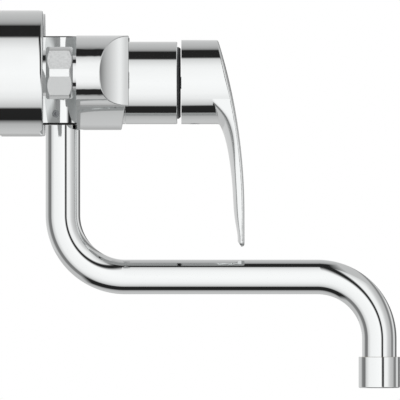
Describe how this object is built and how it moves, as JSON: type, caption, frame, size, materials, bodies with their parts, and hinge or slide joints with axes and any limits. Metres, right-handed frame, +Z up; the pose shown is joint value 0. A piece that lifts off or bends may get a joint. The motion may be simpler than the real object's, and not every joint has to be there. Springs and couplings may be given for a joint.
{
  "type": "kitchen mixer tap",
  "caption": "Wall-mounted chrome single-lever kitchen mixer tap with swivel S-shaped tube spout below the body and a hanging curved lever.",
  "frame": {"origin": "finished wall surface, midway between the two wall threads", "axes": "+X out of the wall, +Z up, hot inlet at -Y and cold inlet at +Y"},
  "size_m": [0.249, 0.222, 0.2181],
  "materials": {
    "polished_chrome": "polished chrome plate on cast or drawn brass, and on zinc for the lever",
    "brass": "machined brass",
    "washer_fibre": "pressed fibre",
    "seal_rubber": "smooth black rubber",
    "ceramic": "lapped ceramic",
    "cartridge_plastic": "moulded acetal",
    "steel": "bright steel",
    "dark_plastic": "satin dark grey plastic",
    "plug_plastic": "gloss grey plastic",
    "aerator_plastic": "moulded plastic",
    "glide_plastic": "moulded acetal"
  },
  "bodies": {
    "body": {"body_casting": "polished_chrome", "hot_wall_union": "polished_chrome", "cold_wall_union": "polished_chrome", "hot_rosette": "polished_chrome", "cold_rosette": "polished_chrome", "hot_washer": "washer_fibre", "cold_washer": "washer_fibre", "hot_inlet_tail": "polished_chrome", "cold_inlet_tail": "polished_chrome", "hot_union_nut": "polished_chrome", "cold_union_nut": "polished_chrome", "shroud": "polished_chrome", "shroud_o_ring": "seal_rubber", "cartridge_nut": "brass", "cover_ring": "dark_plastic", "cartridge_base": "cartridge_plastic", "port_seals": "seal_rubber", "cartridge_housing": "cartridge_plastic", "fixed_ceramic_disc": "ceramic", "spout_keeper_screw": "steel"},
    "spout": {"spout_tube": "polished_chrome", "spout_sleeve": "brass", "spout_o_rings": "seal_rubber", "spout_glide_rings": "glide_plastic", "outlet_nipple": "brass", "aerator_housing": "polished_chrome", "aerator_washer": "seal_rubber", "aerator_screen": "steel", "aerator_insert": "aerator_plastic"},
    "rotor": {"cartridge_rotor": "cartridge_plastic", "pivot_pin": "steel"},
    "moving_disc": {"moving_ceramic_disc": "ceramic", "disc_carrier": "cartridge_plastic"},
    "lever": {"lever": "polished_chrome", "lever_spindle": "steel", "lever_grub_screw": "steel", "lever_plug": "plug_plastic"}
  },
  "joints": [
    {"name": "spout_swivel", "type": "hinge", "parent": "body", "child": "spout", "pos_m": [0.0365, 0, -0.028], "axis": [0, 0, 1], "range_deg": [-90, 90]},
    {"name": "temperature_turn", "type": "hinge", "parent": "body", "child": "rotor", "pos_m": [0.09, 0, -0.0132], "axis": [1, 0, 0], "range_deg": [-50, 50]},
    {"name": "flow_lift", "type": "hinge", "parent": "rotor", "child": "lever", "pos_m": [0.09, 0, -0.0132], "axis": [0, -1, 0], "range_deg": [0, 25]},
    {"name": "disc_slide", "type": "slide", "parent": "rotor", "child": "moving_disc", "axis": [0, 0, -1], "range_m": [0, 0.0036]}
  ],
  "couplings": [
    {"joint": "disc_slide", "follows": "flow_lift", "m_per_rad": 0.0082328}
  ]
}
